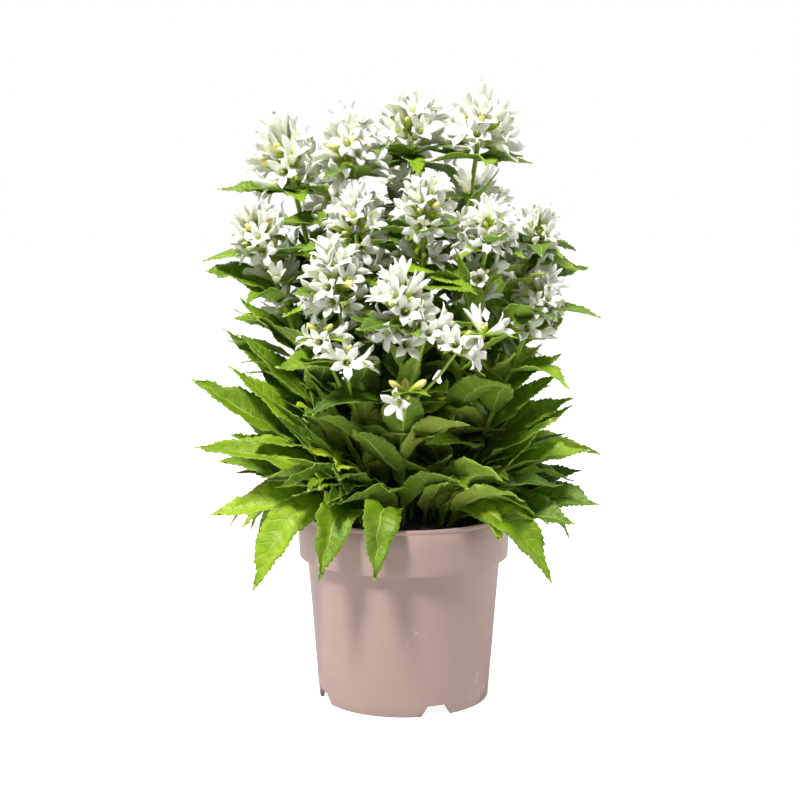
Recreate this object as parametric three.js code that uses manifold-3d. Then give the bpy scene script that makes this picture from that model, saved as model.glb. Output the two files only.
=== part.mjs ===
// A clustered bellflower with white flowers, growing in its plastic nursery pot.
// Millimetres, +Z up. The origin is the middle of the pot's foot, on the surface it stands on.
// The pot, the potting soil, every stem, every flower head and every large leaf is a solid of its own.
import * as THREE from "three";
import { mergeVertices } from "three/addons/utils/BufferGeometryUtils.js";
import Module from "manifold-3d";

const wasm = await Module();
wasm.setup();

// Driving dimensions of the pot: a deep 17 cm nursery pot with a stepped-out band under its rim.
const POT_HEIGHT = 154;
const RIM_RADIUS = 86;
const BAND_FOOT_RADIUS = 84.6;
const BAND_FOOT_Z = 117;
const BODY_TOP_RADIUS = 78.5;
const FOOT_RADIUS = 69;
const WALL = 1.5;
const FOOT_RING = 3;
const FLOOR_Z = 9;
const FLOOR_THICKNESS = 1.8;
const POT_SIDES = 56;

// Four notches through the foot let water out, and a round hole in the floor stands behind each.
const NOTCH_COUNT = 4;
const NOTCH_TURN_DEG = -68;
const NOTCH_WIDTH_AT_FOOT = 27;
const NOTCH_WIDTH_AT_TOP = 15;
const DRAIN_HOLE_RADIUS = 5;
const DRAIN_HOLE_RING = 50;

// The potting soil fills the pot to just under the rim and mounds up a little in the middle.
const GAP = 0.3;
const SOIL_EDGE_Z = 145;
const SOIL_MOUND = 4;
const SOIL_SIDES = 40;
const SOCKET_DEPTH = 5;
const SOCKET_RADIUS = 4;
const SOCKET_SIDES = 6;

// Stems rise from the crown and lean away from a point on the pot's axis.
const STEM_RADIUS = 2.1;
const STEM_SIDES = 6;
const STEM_STEPS = 9;
const LEAN_FROM_Z = 60;
const ROOT_SPREAD = 0.36;
const HEAD_RADIUS = 28;
const HEAD_HEIGHT = 49;
const HEAD_SIDES = 10;

// Leaves are lance-shaped, folded a little along the midrib, with a narrow stalk.
const STALK_HALF_WIDTH = 1.7;
const LEAF_THICKNESS = 1.4;
const LEAF_STATIONS = 9;
const LEAF_FOLD = 0.28;
const CROWN_LEAF_RING = 50;

const DEG = Math.PI / 180;
const UP = new THREE.Vector3(0, 0, 1);
const point = (x, y, z) => new THREE.Vector3(x, y, z);

const POT_PLASTIC = { color: 0xb99d95, roughness: 0.42, metalness: 0 };
const SOIL = { color: 0x1d1710, roughness: 0.95, metalness: 0 };
const STEM_GREEN = { color: 0x86a02a, roughness: 0.6, metalness: 0 };
const LEAF_GREEN = { color: 0x5f7f1c, roughness: 0.55, metalness: 0 };
const PETAL_WHITE = { color: 0xf4f3ea, roughness: 0.6, metalness: 0 };

// Flower heads: the middle of each head, and its size as a share of the largest. The first
// twelve stand from the left round the front to the right, the last six round the back.
const HEADS = [
  { at: point(-94, 20, 436), size: 1.0, rootTurn: 0 },
  { at: point(-43, -2, 449), size: 1.0, rootTurn: -20 },
  { at: point(6, 32, 464), size: 0.95, rootTurn: 0 },
  { at: point(62, 25, 462), size: 0.95, rootTurn: 0 },
  { at: point(-117, -8, 381), size: 0.85, rootTurn: 8 },
  { at: point(-38, -40, 387), size: 0.72, rootTurn: 0 },
  { at: point(17, -40, 402), size: 0.85, rootTurn: 0 },
  { at: point(-54, -74, 350), size: 1.0, rootTurn: -12 },
  { at: point(68, -45, 388), size: 0.85, rootTurn: 0 },
  { at: point(109, 4, 386), size: 0.78, rootTurn: 6 },
  { at: point(-2, -97, 334), size: 0.85, rootTurn: 0 },
  { at: point(110, -26, 334), size: 0.8, rootTurn: -14 },
  { at: point(-60, 74, 412), size: 0.95, rootTurn: 0 },
  { at: point(4, 96, 414), size: 1.0, rootTurn: 0 },
  { at: point(66, 80, 400), size: 0.95, rootTurn: 0 },
  { at: point(-107, 52, 356), size: 0.85, rootTurn: 10 },
  { at: point(-28, 98, 338), size: 0.85, rootTurn: 14 },
  { at: point(104, 58, 340), size: 0.85, rootTurn: -4 },
];

// Leaves that hang over the rim: where each leaves the crown, its tip, how high it arches,
// where along it the arch is highest, its width and its roll about the midrib.
const CROWN_LEAVES = [
  { turn: -103, tip: point(-23, -112, 119), arch: 76, crest: 0.56, width: 26, roll: 4 },
  { turn: -128, tip: point(-64, -102, 119), arch: 72, crest: 0.56, width: 27, roll: -14 },
  { turn: -152, tip: point(-117, -72, 104), arch: 78, crest: 0.52, width: 29, roll: 12 },
  { turn: -50, tip: point(114, -74, 110), arch: 66, crest: 0.5, width: 27, roll: 16 },
  { turn: -22, tip: point(132, -40, 140), arch: 50, crest: 0.5, width: 26, roll: -10 },
  { turn: 8, tip: point(136, 14, 128), arch: 62, crest: 0.52, width: 28, roll: 8 },
  { turn: 38, tip: point(104, 86, 122), arch: 68, crest: 0.52, width: 27, roll: -8 },
  { turn: 68, tip: point(42, 120, 118), arch: 72, crest: 0.54, width: 28, roll: 6 },
  { turn: 98, tip: point(-20, 121, 124), arch: 68, crest: 0.54, width: 27, roll: -8 },
  { turn: 130, tip: point(-86, 100, 118), arch: 70, crest: 0.52, width: 28, roll: 10 },
  { turn: 160, tip: point(-130, 44, 126), arch: 64, crest: 0.52, width: 28, roll: -6 },
  { turn: 186, tip: point(-140, -22, 146), arch: 58, crest: 0.5, width: 27, roll: 6 },
];

// Leaves that grow from a stem: the stem's number, how far up it the leaf starts, its tip, how
// far its middle stands above the straight line to the tip, its width and its roll.
const STEM_LEAVES = [
  { stem: 5, share: 0.2, tip: point(-168, -14, 262), arch: 4, width: 31, roll: -34 },
  { stem: 8, share: 0.1, tip: point(-164, -46, 212), arch: 26, width: 28, roll: 20 },
  { stem: 16, share: 0.3, tip: point(-146, 30, 298), arch: 12, width: 27, roll: 24 },
  { stem: 5, share: 0.84, tip: point(-158, -2, 346), arch: 12, width: 22, roll: 18 },
  { stem: 18, share: 0.12, tip: point(165, 46, 190), arch: 34, width: 30, roll: 8 },
  { stem: 12, share: 0.1, tip: point(150, -30, 206), arch: 26, width: 29, roll: -22 },
  { stem: 12, share: 0.3, tip: point(134, -16, 246), arch: 14, width: 28, roll: 14 },
  { stem: 10, share: 0.8, tip: point(150, 26, 347), arch: 14, width: 22, roll: -16 },
  { stem: 15, share: 0.2, tip: point(66, 120, 222), arch: 26, width: 28, roll: 12 },
  { stem: 17, share: 0.2, tip: point(-62, 121, 228), arch: 26, width: 29, roll: -12 },
];

// Solids

function solidOf(geometry) {
  const bare = geometry.clone();
  for (const name of ["normal", "uv"]) bare.deleteAttribute(name);
  const merged = mergeVertices(bare, 1e-3);
  return new wasm.Manifold(
    new wasm.Mesh({
      numProp: 3,
      vertProperties: merged.attributes.position.array,
      triVerts: new Uint32Array(merged.index.array),
    }),
  );
}

function geometryOf(solid) {
  const mesh = solid.getMesh();
  const geometry = new THREE.BufferGeometry();
  geometry.setAttribute("position", new THREE.BufferAttribute(mesh.vertProperties, 3));
  geometry.setIndex(new THREE.BufferAttribute(mesh.triVerts, 1));
  geometry.computeVertexNormals();
  return geometry;
}

// A profile of [radius, height] pairs turned about Z.
function turned(profile, sides) {
  const points = profile.map(([radius, height]) => new THREE.Vector2(radius, height));
  return new THREE.LatheGeometry(points, sides).rotateX(Math.PI / 2);
}

function named(name, geometry, finish) {
  const mesh = new THREE.Mesh(geometry, new THREE.MeshStandardMaterial(finish));
  mesh.name = name;
  return mesh;
}

const numbered = (word, index) => `${word}_${String(index + 1).padStart(2, "0")}`;

// The pot

function bodyRadiusAt(z) {
  return THREE.MathUtils.lerp(FOOT_RADIUS, BODY_TOP_RADIUS, z / BAND_FOOT_Z);
}

function potShell() {
  const floorTop = FLOOR_Z + FLOOR_THICKNESS;
  return turned(
    [
      [0, FLOOR_Z],
      [FOOT_RADIUS - FOOT_RING, FLOOR_Z],
      [FOOT_RADIUS - FOOT_RING, 0],
      [FOOT_RADIUS, 0],
      [BODY_TOP_RADIUS, BAND_FOOT_Z],
      [BAND_FOOT_RADIUS, BAND_FOOT_Z],
      [RIM_RADIUS, POT_HEIGHT - WALL],
      [RIM_RADIUS - WALL / 2, POT_HEIGHT],
      [RIM_RADIUS - WALL, POT_HEIGHT],
      [BAND_FOOT_RADIUS - WALL, BAND_FOOT_Z + WALL],
      [BODY_TOP_RADIUS - WALL, BAND_FOOT_Z + WALL],
      [bodyRadiusAt(floorTop) - WALL, floorTop],
      [0, floorTop],
    ],
    POT_SIDES,
  );
}

function notchCutter(turn) {
  const outline = new THREE.Shape([
    new THREE.Vector2(-NOTCH_WIDTH_AT_FOOT / 2, -1),
    new THREE.Vector2(NOTCH_WIDTH_AT_FOOT / 2, -1),
    new THREE.Vector2(NOTCH_WIDTH_AT_TOP / 2, FLOOR_Z - GAP),
    new THREE.Vector2(-NOTCH_WIDTH_AT_TOP / 2, FLOOR_Z - GAP),
  ]);
  const reach = 16;
  const cutter = new THREE.ExtrudeGeometry(outline, { depth: reach, bevelEnabled: false });
  cutter.rotateX(Math.PI / 2);
  cutter.rotateZ(Math.PI / 2);
  cutter.translate(FOOT_RADIUS - reach / 2, 0, 0);
  return cutter.rotateZ(turn);
}

function drainHole(turn) {
  const hole = new THREE.CylinderGeometry(DRAIN_HOLE_RADIUS, DRAIN_HOLE_RADIUS, 12, 12);
  hole.rotateX(Math.PI / 2);
  hole.translate(DRAIN_HOLE_RING, 0, FLOOR_Z);
  return hole.rotateZ(turn);
}

function nurseryPot() {
  let pot = solidOf(potShell());
  for (let i = 0; i < NOTCH_COUNT; i += 1) {
    const turn = NOTCH_TURN_DEG * DEG + (i * 2 * Math.PI) / NOTCH_COUNT;
    pot = pot.subtract(solidOf(notchCutter(turn))).subtract(solidOf(drainHole(turn)));
  }
  return geometryOf(pot);
}

// The stems

function headDirection(head) {
  return head.at.clone().sub(point(0, 0, LEAN_FROM_Z)).normalize();
}

function neckOf(head) {
  return head.at.clone().addScaledVector(headDirection(head), (-HEAD_HEIGHT * head.size) / 2);
}

function soilHeightAt(radius) {
  return SOIL_EDGE_Z + SOIL_MOUND * Math.cos((Math.PI / 2) * Math.min(1, radius / RIM_RADIUS));
}

function rootOf(head) {
  const root = point(head.at.x, head.at.y, 0).multiplyScalar(ROOT_SPREAD);
  root.applyAxisAngle(UP, head.rootTurn * DEG);
  return root.setZ(soilHeightAt(root.length()) - SOCKET_DEPTH + 1);
}

// A stem leaves the soil nearly upright and comes into its flower head along the head's lean.
function stemPath(head) {
  const root = rootOf(head);
  const neck = neckOf(head);
  const knee = neck.clone().addScaledVector(headDirection(head), -0.55 * (neck.z - root.z));
  return new THREE.QuadraticBezierCurve3(root, knee, neck);
}

function polygonOutline(radius, sides) {
  const corners = Array.from({ length: sides }, (_, i) => {
    const turn = (i * 2 * Math.PI) / sides;
    return new THREE.Vector2(radius * Math.cos(turn), radius * Math.sin(turn));
  });
  return new THREE.Shape(corners);
}

function stemGeometry(head) {
  return new THREE.ExtrudeGeometry(polygonOutline(STEM_RADIUS, STEM_SIDES), {
    steps: STEM_STEPS,
    bevelEnabled: false,
    extrudePath: stemPath(head),
  });
}

// The flower heads: each is the rounded outline that its crowd of bells fills.

function headGeometry(head) {
  const radius = HEAD_RADIUS * head.size;
  const height = HEAD_HEIGHT * head.size;
  const geometry = turned(
    [
      [0, GAP],
      [0.16 * radius, GAP],
      [0.62 * radius, 0.2 * height],
      [0.96 * radius, 0.42 * height],
      [0.97 * radius, 0.64 * height],
      [0.68 * radius, 0.88 * height],
      [0, height],
    ],
    HEAD_SIDES,
  );
  const lean = new THREE.Quaternion().setFromUnitVectors(UP, headDirection(head));
  const neck = neckOf(head);
  return geometry.applyQuaternion(lean).translate(neck.x, neck.y, neck.z);
}

// The leaves

function leafHalfWidth(share, width) {
  const stalk = STALK_HALF_WIDTH * (1 - 0.75 * share);
  const blade = Math.pow(Math.sin(Math.PI * Math.pow(share, 0.9)), 1.5);
  return stalk + (width / 2 - STALK_HALF_WIDTH) * Math.max(0, blade);
}

function archedPath(from, tip, arch, crest) {
  const knee = from.clone().lerp(tip, crest).addScaledVector(UP, arch);
  return new THREE.QuadraticBezierCurve3(from, knee, tip);
}

// A four-sided bar bent along the path, widened to the leaf's outline and folded at the midrib.
function leafGeometry(path, width, roll) {
  const geometry = new THREE.CylinderGeometry(1, 1, 1, 4, LEAF_STATIONS);
  const places = geometry.attributes.position;
  for (let i = 0; i < places.count; i += 1) {
    const across = places.getX(i);
    const through = places.getZ(i);
    const share = places.getY(i) + 0.5;
    const along = path.getTangent(share);
    const side = new THREE.Vector3().crossVectors(UP, along).normalize();
    side.applyAxisAngle(along, roll * DEG * Math.sin(Math.PI * Math.sqrt(share)));
    const upper = new THREE.Vector3().crossVectors(along, side);
    const halfWidth = leafHalfWidth(share, width);
    const lift = (through * LEAF_THICKNESS) / 2 + Math.abs(across) * LEAF_FOLD * halfWidth;
    const place = path.getPoint(share);
    place.addScaledVector(side, across * halfWidth).addScaledVector(upper, lift);
    places.setXYZ(i, place.x, place.y, place.z);
  }
  return solidOf(geometry).volume() < 0 ? flipped(geometry) : geometry;
}

function flipped(geometry) {
  const index = geometry.index.array;
  for (let i = 0; i < index.length; i += 3) {
    [index[i + 1], index[i + 2]] = [index[i + 2], index[i + 1]];
  }
  return geometry;
}

function crownLeafRoot(leaf) {
  const root = point(CROWN_LEAF_RING, 0, 0).applyAxisAngle(UP, leaf.turn * DEG);
  return root.setZ(soilHeightAt(CROWN_LEAF_RING) - SOCKET_DEPTH + 1);
}

function crownLeafPath(leaf) {
  return archedPath(crownLeafRoot(leaf), leaf.tip, leaf.arch, leaf.crest);
}

function crownLeafGeometry(leaf) {
  return leafGeometry(crownLeafPath(leaf), leaf.width, leaf.roll);
}

function stemLeafGeometry(leaf) {
  const node = stemPath(HEADS[leaf.stem - 1]).getPoint(leaf.share);
  const outward = leaf.tip.clone().sub(node).setZ(0).normalize();
  const from = node.addScaledVector(outward, STEM_RADIUS + STALK_HALF_WIDTH + GAP);
  return leafGeometry(archedPath(from, leaf.tip, leaf.arch, 0.45), leaf.width, leaf.roll);
}

// The soil, with a socket where each stem and each crown leaf goes in.

function soilBody() {
  const clear = WALL + GAP;
  const bottom = FLOOR_Z + FLOOR_THICKNESS + GAP;
  return turned(
    [
      [0, bottom],
      [bodyRadiusAt(bottom) - clear, bottom],
      [BODY_TOP_RADIUS - clear, BAND_FOOT_Z + clear],
      [BAND_FOOT_RADIUS - clear, BAND_FOOT_Z + clear],
      [BAND_FOOT_RADIUS - clear + 0.8, SOIL_EDGE_Z],
      [0.7 * RIM_RADIUS, soilHeightAt(0.7 * RIM_RADIUS)],
      [0.35 * RIM_RADIUS, soilHeightAt(0.35 * RIM_RADIUS)],
      [0, soilHeightAt(0)],
    ],
    SOIL_SIDES,
  );
}

// Each socket runs along the start of its stem or leaf, and a little past its end.
function socketCutter(path) {
  const height = 5 * SOCKET_DEPTH;
  const cutter = new THREE.CylinderGeometry(SOCKET_RADIUS, SOCKET_RADIUS, height, SOCKET_SIDES);
  cutter.translate(0, height / 2 - 1.5, 0).rotateX(Math.PI / 2);
  cutter.applyQuaternion(new THREE.Quaternion().setFromUnitVectors(UP, path.getTangent(0)));
  const root = path.getPoint(0);
  return cutter.translate(root.x, root.y, root.z);
}

function pottingSoil() {
  let soil = solidOf(soilBody());
  for (const path of [...HEADS.map(stemPath), ...CROWN_LEAVES.map(crownLeafPath)]) {
    soil = soil.subtract(solidOf(socketCutter(path)));
  }
  return geometryOf(soil);
}

// The whole plant in its pot

const plant = new THREE.Group();
plant.add(named("nursery_pot", nurseryPot(), POT_PLASTIC));
plant.add(named("potting_soil", pottingSoil(), SOIL));
HEADS.forEach((head, i) => {
  plant.add(named(numbered("stem", i), stemGeometry(head), STEM_GREEN));
  plant.add(named(numbered("flower_head", i), headGeometry(head), PETAL_WHITE));
});
const leaves = [...CROWN_LEAVES.map(crownLeafGeometry), ...STEM_LEAVES.map(stemLeafGeometry)];
leaves.forEach((geometry, i) => plant.add(named(numbered("leaf", i), geometry, LEAF_GREEN)));

export default plant;
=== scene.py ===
import math
import random

import bmesh
import bpy
from mathutils import Matrix, Vector


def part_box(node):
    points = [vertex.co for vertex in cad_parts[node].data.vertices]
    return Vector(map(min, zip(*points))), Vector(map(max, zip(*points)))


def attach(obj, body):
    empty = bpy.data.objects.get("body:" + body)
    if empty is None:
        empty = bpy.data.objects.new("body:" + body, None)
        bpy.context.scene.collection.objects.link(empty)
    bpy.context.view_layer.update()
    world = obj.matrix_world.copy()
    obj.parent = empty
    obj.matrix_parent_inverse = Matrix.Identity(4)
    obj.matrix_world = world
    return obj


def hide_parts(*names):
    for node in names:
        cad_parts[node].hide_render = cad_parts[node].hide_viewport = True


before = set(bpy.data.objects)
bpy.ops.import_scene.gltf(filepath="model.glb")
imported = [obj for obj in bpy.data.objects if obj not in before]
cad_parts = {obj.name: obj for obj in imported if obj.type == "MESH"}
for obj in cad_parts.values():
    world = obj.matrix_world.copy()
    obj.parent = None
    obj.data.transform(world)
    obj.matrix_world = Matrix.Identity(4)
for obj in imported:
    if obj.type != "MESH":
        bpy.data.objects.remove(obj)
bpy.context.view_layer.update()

# ---- Nursery pot ----
# One injection-moulded polypropylene shell: a tapering body, a band that steps out under the rim,
# a raised floor on a foot ring, four notches through the ring and four drain holes.
# Its wall is drawn up ring by ring from the middle of the floor's underside and round to its top.
# All sizes are in millimetres and all turns in degrees. mm() gives Blender its metres.
POT_SIDES = 128
FLOOR_UNDERSIDE = 9.0
FLOOR_MIDDLE = 4
# Radius and height of each ring: underside and foot ring, body, band and rim, then down the inside.
POT_RINGS = (
    (30, 9), (45, 9), (55, 9), (64.6, 9), (65.6, 8.4), (66.2, 7.2), (66.2, 0.5), (66.6, 0),
    (68.4, 0), (68.9, 0.35), (69.2, 1.0), (69.9, 10), (71, 24), (73, 48), (75, 76), (77, 100),
    (78.2, 114), (78.5, 116.6), (78.8, 117.05), (84.0, 117.0), (84.6, 117.3), (84.85, 118.2),
    (85.1, 126), (85.5, 138), (85.8, 149.4), (85.55, 149.9), (85.55, 150.5), (85.9, 151.0),
    (86.0, 152.8), (85.7, 153.7), (85.1, 154), (84.6, 153.8), (84.4, 153.2), (84.2, 146),
    (83.6, 128), (83.2, 119.8), (82.4, 118.8), (77.6, 118.6), (77.0, 117.6), (75.4, 97),
    (72.6, 60), (70.2, 30), (68.8, 13), (67.6, 11.2), (66, 10.8), (45, 10.8), (20, 10.8), (4, 10.8),
)
NOTCH_TURNS = (-68, 22, 112, 202)
NOTCH_WIDTH_AT_FOOT = 27
NOTCH_WIDTH_AT_TOP = 15
NOTCH_TOP = 8.7
NOTCH_DEPTH = 16
FOOT_RADIUS = 69
BELOW_FOOT = 1
DRAIN_HOLE_RADIUS = 5
DRAIN_HOLE_RING = 50
DRAIN_HOLE_SIDES = 32
SHARP_TURN = 35


def mm(value):
    return value / 1000.0


def deselect_all():
    if bpy.context.mode != "OBJECT":
        bpy.ops.object.mode_set(mode="OBJECT")
    bpy.ops.object.select_all(action="DESELECT")


def draw_up(radius, height, last):
    """Extrudes the selected ring to a new radius and height, and returns where it now is."""
    was_radius, was_height = last
    rise = (0, 0, mm(height - was_height))
    bpy.ops.mesh.extrude_region_move(TRANSFORM_OT_translate={"value": rise})
    growth = radius / was_radius
    bpy.ops.transform.resize(value=(growth, growth, 1), center_override=(0, 0, mm(height)))
    return radius, height


deselect_all()
bpy.ops.mesh.primitive_circle_add(vertices=POT_SIDES, radius=mm(FLOOR_MIDDLE), fill_type="NGON",
                                  location=(0, 0, mm(FLOOR_UNDERSIDE)))
pot = bpy.context.object
pot.name = "moulded_pot"
bpy.ops.object.transform_apply(location=True)
bpy.ops.object.mode_set(mode="EDIT")
bpy.ops.mesh.select_all(action="DESELECT")
floor_middle = bmesh.from_edit_mesh(pot.data)
for edge in floor_middle.edges:
    edge.select = True
bmesh.update_edit_mesh(pot.data)
bpy.ops.mesh.select_mode(type="EDGE")
ring = (FLOOR_MIDDLE, FLOOR_UNDERSIDE)
for radius, height in POT_RINGS:
    ring = draw_up(radius, height, ring)
bpy.ops.mesh.edge_face_add()
bpy.ops.mesh.select_all(action="SELECT")
bpy.ops.mesh.normals_make_consistent(inside=False)
bpy.ops.object.mode_set(mode="OBJECT")


def work_on(piece):
    """Makes this the only selected piece."""
    deselect_all()
    piece.select_set(True)
    bpy.context.view_layer.objects.active = piece


def pick(test):
    """In edit mode, selects just the points that pass the test, with the edges and faces between them."""
    bpy.ops.mesh.select_all(action="DESELECT")
    mesh = bpy.context.edit_object.data
    shape = bmesh.from_edit_mesh(mesh)
    for point in shape.verts:
        point.select = bool(test(point.co))
    shape.select_flush(True)
    bmesh.update_edit_mesh(mesh)


def apply_modifier(piece, name, kind, **settings):
    work_on(piece)
    modifier = piece.modifiers.new(name, kind)
    for key, value in settings.items():
        setattr(modifier, key, value)
    bpy.ops.object.modifier_apply(modifier=modifier.name)


def cut_away(piece, cutter):
    """Cuts one piece with another, and throws the cutter away."""
    apply_modifier(piece, "cut", "BOOLEAN", object=cutter, operation="DIFFERENCE", solver="EXACT")
    bpy.data.objects.remove(cutter, do_unlink=True)


for turn in NOTCH_TURNS:
    facing = Matrix.Rotation(math.radians(turn), 4, "Z")
    deselect_all()
    bpy.ops.mesh.primitive_cube_add(
        size=1, location=(mm(FOOT_RADIUS), 0, mm((NOTCH_TOP - BELOW_FOOT) / 2)),
        scale=(mm(NOTCH_DEPTH), mm(NOTCH_WIDTH_AT_FOOT), mm(NOTCH_TOP + BELOW_FOOT)))
    notch = bpy.context.object
    bpy.ops.object.transform_apply(location=True, scale=True)
    bpy.ops.object.mode_set(mode="EDIT")
    pick(lambda co: co.z > mm(NOTCH_TOP / 2))
    bpy.ops.transform.resize(value=(1, NOTCH_WIDTH_AT_TOP / NOTCH_WIDTH_AT_FOOT, 1),
                             center_override=(mm(FOOT_RADIUS), 0, mm(NOTCH_TOP)))
    bpy.ops.object.mode_set(mode="OBJECT")
    notch.data.transform(facing)
    cut_away(pot, notch)
    deselect_all()
    bpy.ops.mesh.primitive_cylinder_add(vertices=DRAIN_HOLE_SIDES, radius=mm(DRAIN_HOLE_RADIUS),
                                        depth=mm(12), location=(mm(DRAIN_HOLE_RING), 0, mm(10)))
    drain = bpy.context.object
    bpy.ops.object.transform_apply(location=True)
    drain.data.transform(facing)
    cut_away(pot, drain)

work_on(pot)
bpy.ops.object.shade_smooth_by_angle(angle=math.radians(SHARP_TURN))


def linear(hex_colour):
    """An sRGB hex colour as linear red, green, blue and alpha."""
    channels = [int(hex_colour[i:i + 2], 16) / 255 for i in (1, 3, 5)]
    return tuple(c / 12.92 if c <= 0.04045 else ((c + 0.055) / 1.055) ** 2.4 for c in channels) + (1.0,)


def new_material(name):
    material = bpy.data.materials.new(name)
    material.use_nodes = True
    material.node_tree.nodes.clear()
    return material


def node(owner, kind, inputs=None, **settings):
    """Adds a shader node with its settings, and fills its sockets with numbers or other nodes' outputs."""
    made = owner.node_tree.nodes.new("ShaderNode" + kind)
    for name, value in settings.items():
        setattr(made, name, value)
    for name, value in (inputs or {}).items():
        if isinstance(value, bpy.types.NodeSocket):
            owner.node_tree.links.new(value, made.inputs[name])
        else:
            made.inputs[name].default_value = value
    return made


# Polypropylene, injection moulded and dyed a greyed rose taupe. The tool's satin surface gives it a
# broad soft shine, with fine vertical rub marks from stacking, a little pale dust and specks of peat
# round the foot.
pot_plastic = new_material("moulded_polypropylene")
pot_place = node(pot_plastic, "TexCoord").outputs["Object"]
pot_long = node(pot_plastic, "Mapping", {"Vector": pot_place, "Scale": (1, 1, 0.16)}).outputs[0]
pot_rub = node(pot_plastic, "TexNoise",
               {"Vector": pot_long, "Scale": 240.0, "Detail": 5.0, "Roughness": 0.6}).outputs["Fac"]
pot_cloud = node(pot_plastic, "TexNoise",
                 {"Vector": pot_place, "Scale": 22.0, "Detail": 4.0}).outputs["Fac"]
pot_grain = node(pot_plastic, "TexNoise",
                 {"Vector": pot_place, "Scale": 900.0, "Detail": 2.0}).outputs["Fac"]
pot_speck_noise = node(pot_plastic, "TexNoise",
                       {"Vector": pot_place, "Scale": 260.0, "Detail": 3.0, "Roughness": 0.7}).outputs["Fac"]
pot_speck_patch = node(pot_plastic, "Math", {0: pot_speck_noise, 1: pot_cloud},
                       operation="MULTIPLY").outputs[0]
pot_speck = node(pot_plastic, "MapRange",
                 {"Value": pot_speck_patch, "From Min": 0.40, "From Max": 0.47}).outputs[0]
pot_tone = node(pot_plastic, "Mix",
                {"Factor": pot_cloud, 6: linear("#9c827c"), 7: linear("#aa9087")},
                data_type="RGBA").outputs[2]
pot_dusty = node(pot_plastic, "Mix",
                 {"Factor": pot_speck, 6: pot_tone, 7: linear("#cdbab3")}, data_type="RGBA").outputs[2]
pot_height = node(pot_plastic, "SeparateXYZ", {0: pot_place}).outputs["Z"]
pot_foot = node(pot_plastic, "MapRange",
                {"Value": pot_height, "From Min": mm(22), "From Max": mm(2)}).outputs[0]
pot_dirt_noise = node(pot_plastic, "TexNoise",
                      {"Vector": pot_place, "Scale": 330.0, "Detail": 5.0, "Roughness": 0.75}).outputs["Fac"]
pot_dirt = node(pot_plastic, "MapRange",
                {"Value": pot_dirt_noise, "From Min": 0.62, "From Max": 0.68}).outputs[0]
pot_dirt = node(pot_plastic, "Math", {0: pot_dirt, 1: pot_foot}, operation="MULTIPLY").outputs[0]
pot_colour = node(pot_plastic, "Mix",
                  {"Factor": pot_dirt, 6: pot_dusty, 7: linear("#5a4238")}, data_type="RGBA").outputs[2]
pot_rough = node(pot_plastic, "MapRange",
                 {"Value": pot_rub, "From Min": 0.3, "From Max": 0.7,
                  "To Min": 0.36, "To Max": 0.5}).outputs[0]
pot_relief = node(pot_plastic, "Math", {0: pot_rub, 1: pot_grain}, operation="ADD").outputs[0]
pot_bump = node(pot_plastic, "Bump",
                {"Height": pot_relief, "Strength": 0.08, "Distance": mm(0.4)}).outputs[0]
pot_shader = node(pot_plastic, "BsdfPrincipled",
                  {"Base Color": pot_colour, "Roughness": pot_rough, "Normal": pot_bump, "IOR": 1.49})
node(pot_plastic, "OutputMaterial", {"Surface": pot_shader.outputs[0]})
pot.data.materials.append(pot_plastic)

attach(pot, "root")
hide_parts("nursery_pot")

# ---- Potting soil ----
# Moist, nearly black peat mix filled to just under the rim, mounded a little at the crown,
# with a crumbly top and loose bits of bark and fibre lying on it.
SOIL_EDGE_HEIGHT = 145.0
SOIL_MOUND = 4.0
SOIL_RADIUS = 83.0
SOIL_MIDDLE = 3
SOIL_TOP_RINGS = 32
# Radius and height of the rings down the plug's side and under it, inside the pot's wall.
PLUG_RINGS = ((83.0, 143), (82.2, 120.5), (76.2, 119.5), (68.6, 14), (66, 11.3), (6, 11.3))
CLOD_SIZE = 7
CLOD_RELIEF = 5
BARK_CRUMBS = 260


def soil_height(radius_mm):
    return SOIL_EDGE_HEIGHT + SOIL_MOUND * math.cos(math.pi / 2 * min(1, radius_mm / 86))


deselect_all()
bpy.ops.mesh.primitive_circle_add(vertices=96, radius=mm(SOIL_MIDDLE), fill_type="NGON",
                                  location=(0, 0, mm(soil_height(0))))
soil = bpy.context.object
soil.name = "potting_mix"
bpy.ops.object.transform_apply(location=True)
bpy.ops.object.mode_set(mode="EDIT")
bpy.ops.mesh.select_all(action="SELECT")
bpy.ops.mesh.select_mode(type="EDGE")
ring = (SOIL_MIDDLE, soil_height(0))
for step in range(1, SOIL_TOP_RINGS + 1):
    radius = SOIL_MIDDLE + (SOIL_RADIUS - SOIL_MIDDLE) * step / SOIL_TOP_RINGS
    ring = draw_up(radius, soil_height(radius), ring)
for radius, height in PLUG_RINGS:
    ring = draw_up(radius, height, ring)
bpy.ops.mesh.edge_face_add()
bpy.ops.mesh.select_all(action="SELECT")
bpy.ops.mesh.normals_make_consistent(inside=False)
bpy.ops.object.mode_set(mode="OBJECT")
soil_top = soil.vertex_groups.new(name="top")
soil_top.add([v.index for v in soil.data.vertices
              if v.co.z > mm(143.5) and math.hypot(v.co.x, v.co.y) < mm(82)], 1.0, "REPLACE")
clods = bpy.data.textures.new("peat_clods", "CLOUDS")
clods.noise_scale = mm(CLOD_SIZE)
clods.noise_depth = 4
apply_modifier(soil, "clods", "DISPLACE", texture=clods, strength=mm(CLOD_RELIEF), mid_level=0.55,
               texture_coords="LOCAL", vertex_group="top", direction="Z")
work_on(soil)
bpy.ops.object.shade_smooth()

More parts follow.
